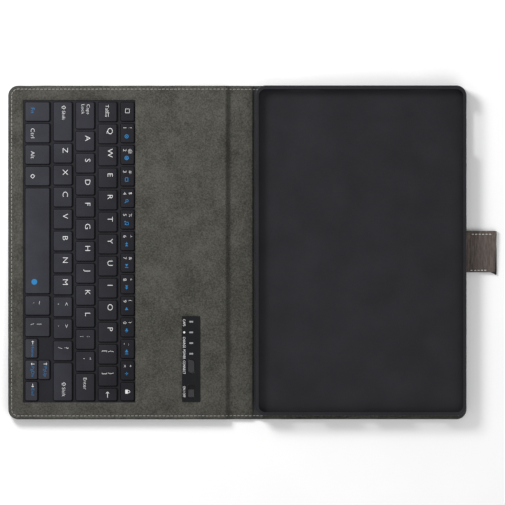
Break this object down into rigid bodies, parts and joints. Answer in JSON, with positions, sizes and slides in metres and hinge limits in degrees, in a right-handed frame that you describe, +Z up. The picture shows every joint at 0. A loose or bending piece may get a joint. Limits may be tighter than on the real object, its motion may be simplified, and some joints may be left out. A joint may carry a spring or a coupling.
{
  "type": "tablet keyboard case",
  "caption": "Folding tablet case lying open: a suede-lined cover with a built-in keyboard and control panel, a spine, an easel back, a snap-in tablet tray and a closure strap.",
  "frame": {"origin": "middle of the opened case's bounding box, on the face that lies on the table", "axes": "+X from the keyboard cover's free edge to the closure strap, +Y along the spine towards the tray's flush end, +Z up, out of the lining and the keys"},
  "size_m": [0.373, 0.2546, 0.0126],
  "materials": {
    "cover_skin": "fine-grained polyurethane leather, semi-matt",
    "suede_lining": "mottled grey microfibre suede",
    "stiff_board": "pressed board",
    "core_filler": "moulded filler frame",
    "steel_plate": "thin spring steel",
    "magnet": "nickel plated bar",
    "keyboard_plastic": "matt black moulding",
    "keycap_plastic": "charcoal keycap, fine matt texture",
    "membrane_film": "clear printed film",
    "dome_rubber": "silicone dome",
    "link_plastic": "white scissor link",
    "panel_plastic": "matt control panel",
    "button_plastic": "satin button",
    "lamp_lens": "milky light pipe",
    "circuit_board": "green circuit board",
    "port_metal": "folded socket shell",
    "battery_foil": "foil pouch",
    "ribbon_film": "flat flexible cable",
    "foam_pad": "black bonding foam",
    "tray_plastic": "dark blue-grey moulded tray",
    "strap_leather": "brown-grey leather strap"
  },
  "bodies": {
    "keyboard_cover": {"front_skin": "cover_skin", "front_base_board": "stiff_board", "front_core_frame": "core_filler", "front_lining": "suede_lining", "closure_plate": "steel_plate", "stand_magnets": "magnet", "keyboard_bottom_case": "keyboard_plastic", "keyboard_deck": "keyboard_plastic", "key_backplate": "steel_plate", "membrane_sheet": "membrane_film", "rubber_domes": "dome_rubber", "scissor_links": "link_plastic", "control_panel": "panel_plastic", "indicator_lenses": "lamp_lens", "panel_screws": "steel_plate", "controller_board": "circuit_board", "charging_port": "port_metal", "battery_cell": "battery_foil", "ribbon_cable": "ribbon_film"},
    "connect_button": {"connect_button": "button_plastic"},
    "power_switch": {"power_switch": "button_plastic"},
    "spine": {"spine_skin": "cover_skin", "spine_board": "stiff_board", "spine_lining": "suede_lining"},
    "crease_strip": {"crease_skin": "cover_skin", "crease_lining": "suede_lining"},
    "easel_panel": {"easel_skin": "cover_skin", "easel_board": "stiff_board", "easel_lining": "suede_lining"},
    "tray_panel": {"rear_skin": "cover_skin", "rear_board": "stiff_board", "rear_lining": "suede_lining", "strap_anchor": "strap_leather", "tray_pad": "foam_pad", "tray_shell": "tray_plastic"},
    "strap_upper": {"strap_upper": "strap_leather", "strap_bend": "strap_leather"},
    "strap_lower": {"strap_lower": "strap_leather", "strap_magnet": "magnet"},
    "key_alt": {"key_alt": "keycap_plastic"},
    "key_backspace": {"key_backspace": "keycap_plastic"},
    "key_caps": {"key_caps": "keycap_plastic"},
    "key_control": {"key_control": "keycap_plastic"},
    "key_down": {"key_down": "keycap_plastic"},
    "key_enter": {"key_enter": "keycap_plastic"},
    "key_fn": {"key_fn": "keycap_plastic"},
    "key_left": {"key_left": "keycap_plastic"},
    "key_lock": {"key_lock": "keycap_plastic"},
    "key_meta": {"key_meta": "keycap_plastic"},
    "key_right": {"key_right": "keycap_plastic"},
    "key_row_1": {"key_row_1": "keycap_plastic"},
    "key_row_2": {"key_row_2": "keycap_plastic"},
    "key_row_3": {"key_row_3": "keycap_plastic"},
    "key_row_4": {"key_row_4": "keycap_plastic"},
    "key_row_5": {"key_row_5": "keycap_plastic"},
    "key_shift_left": {"key_shift_left": "keycap_plastic"},
    "key_shift_right": {"key_shift_right": "keycap_plastic"},
    "key_space": {"key_space": "keycap_plastic"},
    "key_tab": {"key_tab": "keycap_plastic"},
    "key_up": {"key_up": "keycap_plastic"}
  },
  "joints": [
    {"name": "back_cover_hinge", "type": "hinge", "parent": "spine", "child": "crease_strip", "pos_m": [-0.0001, 0, 0.0009], "axis": [0, -1, 0], "range_deg": [0, 90]},
    {"name": "closure_strap_hinge", "type": "hinge", "parent": "tray_panel", "child": "strap_upper", "pos_m": [0.1635, 0.0007, 0.0028], "axis": [0, -1, 0], "range_deg": [0, 66.34]},
    {"name": "closure_strap_unroll", "type": "hinge", "parent": "strap_upper", "child": "strap_lower", "pos_m": [0.18507, 0.0007, 0.0014], "axis": [0, -1, 0], "range_deg": [0, 293.66]},
    {"name": "connect_button_travel", "type": "slide", "parent": "keyboard_cover", "child": "connect_button", "axis": [0, 0, -1], "range_m": [0, 0.0006], "stiffness_N_per_m": 900, "springref_m": -0.0005},
    {"name": "cover_spine_hinge", "type": "hinge", "parent": "keyboard_cover", "child": "spine", "pos_m": [-0.0186, 0, 0.0009], "axis": [0, -1, 0], "range_deg": [0, 90]},
    {"name": "easel_stand_hinge", "type": "hinge", "parent": "crease_strip", "child": "easel_panel", "pos_m": [0.0049, 0, 0.0009], "axis": [0, 1, 0], "range_deg": [-108.01, 0]},
    {"name": "easel_tray_fold", "type": "hinge", "parent": "easel_panel", "child": "tray_panel", "pos_m": [0.0846, 0, 0], "axis": [0, -1, 0], "range_deg": [-48.03, 0]},
    {"name": "power_switch_slide", "type": "slide", "parent": "keyboard_cover", "child": "power_switch", "axis": [0, 1, 0], "range_m": [0, 0.003]},
    {"name": "key_alt_travel", "type": "slide", "parent": "keyboard_cover", "child": "key_alt", "axis": [0, 0, -1], "range_m": [0, 0.0011], "stiffness_N_per_m": 400, "springref_m": -0.0005},
    {"name": "key_backspace_travel", "type": "slide", "parent": "keyboard_cover", "child": "key_backspace", "axis": [0, 0, -1], "range_m": [0, 0.0011], "stiffness_N_per_m": 400, "springref_m": -0.0005},
    {"name": "key_caps_travel", "type": "slide", "parent": "keyboard_cover", "child": "key_caps", "axis": [0, 0, -1], "range_m": [0, 0.0011], "stiffness_N_per_m": 400, "springref_m": -0.0005},
    {"name": "key_control_travel", "type": "slide", "parent": "keyboard_cover", "child": "key_control", "axis": [0, 0, -1], "range_m": [0, 0.0011], "stiffness_N_per_m": 400, "springref_m": -0.0005},
    {"name": "key_down_travel", "type": "slide", "parent": "keyboard_cover", "child": "key_down", "axis": [0, 0, -1], "range_m": [0, 0.0011], "stiffness_N_per_m": 400, "springref_m": -0.0005},
    {"name": "key_enter_travel", "type": "slide", "parent": "keyboard_cover", "child": "key_enter", "axis": [0, 0, -1], "range_m": [0, 0.0011], "stiffness_N_per_m": 400, "springref_m": -0.0005},
    {"name": "key_fn_travel", "type": "slide", "parent": "keyboard_cover", "child": "key_fn", "axis": [0, 0, -1], "range_m": [0, 0.0011], "stiffness_N_per_m": 400, "springref_m": -0.0005},
    {"name": "key_left_travel", "type": "slide", "parent": "keyboard_cover", "child": "key_left", "axis": [0, 0, -1], "range_m": [0, 0.0011], "stiffness_N_per_m": 400, "springref_m": -0.0005},
    {"name": "key_lock_travel", "type": "slide", "parent": "keyboard_cover", "child": "key_lock", "axis": [0, 0, -1], "range_m": [0, 0.0011], "stiffness_N_per_m": 400, "springref_m": -0.0005},
    {"name": "key_meta_travel", "type": "slide", "parent": "keyboard_cover", "child": "key_meta", "axis": [0, 0, -1], "range_m": [0, 0.0011], "stiffness_N_per_m": 400, "springref_m": -0.0005},
    {"name": "key_right_travel", "type": "slide", "parent": "keyboard_cover", "child": "key_right", "axis": [0, 0, -1], "range_m": [0, 0.0011], "stiffness_N_per_m": 400, "springref_m": -0.0005},
    {"name": "key_row_1_travel", "type": "slide", "parent": "keyboard_cover", "child": "key_row_1", "axis": [0, 0, -1], "range_m": [0, 0.0011], "stiffness_N_per_m": 3000, "springref_m": -0.0005},
    {"name": "key_row_2_travel", "type": "slide", "parent": "keyboard_cover", "child": "key_row_2", "axis": [0, 0, -1], "range_m": [0, 0.0011], "stiffness_N_per_m": 3000, "springref_m": -0.0005},
    {"name": "key_row_3_travel", "type": "slide", "parent": "keyboard_cover", "child": "key_row_3", "axis": [0, 0, -1], "range_m": [0, 0.0011], "stiffness_N_per_m": 3000, "springref_m": -0.0005},
    {"name": "key_row_4_travel", "type": "slide", "parent": "keyboard_cover", "child": "key_row_4", "axis": [0, 0, -1], "range_m": [0, 0.0011], "stiffness_N_per_m": 3000, "springref_m": -0.0005},
    {"name": "key_row_5_travel", "type": "slide", "parent": "keyboard_cover", "child": "key_row_5", "axis": [0, 0, -1], "range_m": [0, 0.0011], "stiffness_N_per_m": 3000, "springref_m": -0.0005},
    {"name": "key_shift_left_travel", "type": "slide", "parent": "keyboard_cover", "child": "key_shift_left", "axis": [0, 0, -1], "range_m": [0, 0.0011], "stiffness_N_per_m": 400, "springref_m": -0.0005},
    {"name": "key_shift_right_travel", "type": "slide", "parent": "keyboard_cover", "child": "key_shift_right", "axis": [0, 0, -1], "range_m": [0, 0.0011], "stiffness_N_per_m": 400, "springref_m": -0.0005},
    {"name": "key_space_travel", "type": "slide", "parent": "keyboard_cover", "child": "key_space", "axis": [0, 0, -1], "range_m": [0, 0.0011], "stiffness_N_per_m": 500, "springref_m": -0.0005},
    {"name": "key_tab_travel", "type": "slide", "parent": "keyboard_cover", "child": "key_tab", "axis": [0, 0, -1], "range_m": [0, 0.0011], "stiffness_N_per_m": 400, "springref_m": -0.0005},
    {"name": "key_up_travel", "type": "slide", "parent": "keyboard_cover", "child": "key_up", "axis": [0, 0, -1], "range_m": [0, 0.0011], "stiffness_N_per_m": 400, "springref_m": -0.0005}
  ],
  "couplings": [
    {"joint": "easel_tray_fold", "follows": "easel_stand_hinge", "ratio": 0.4445}
  ]
}
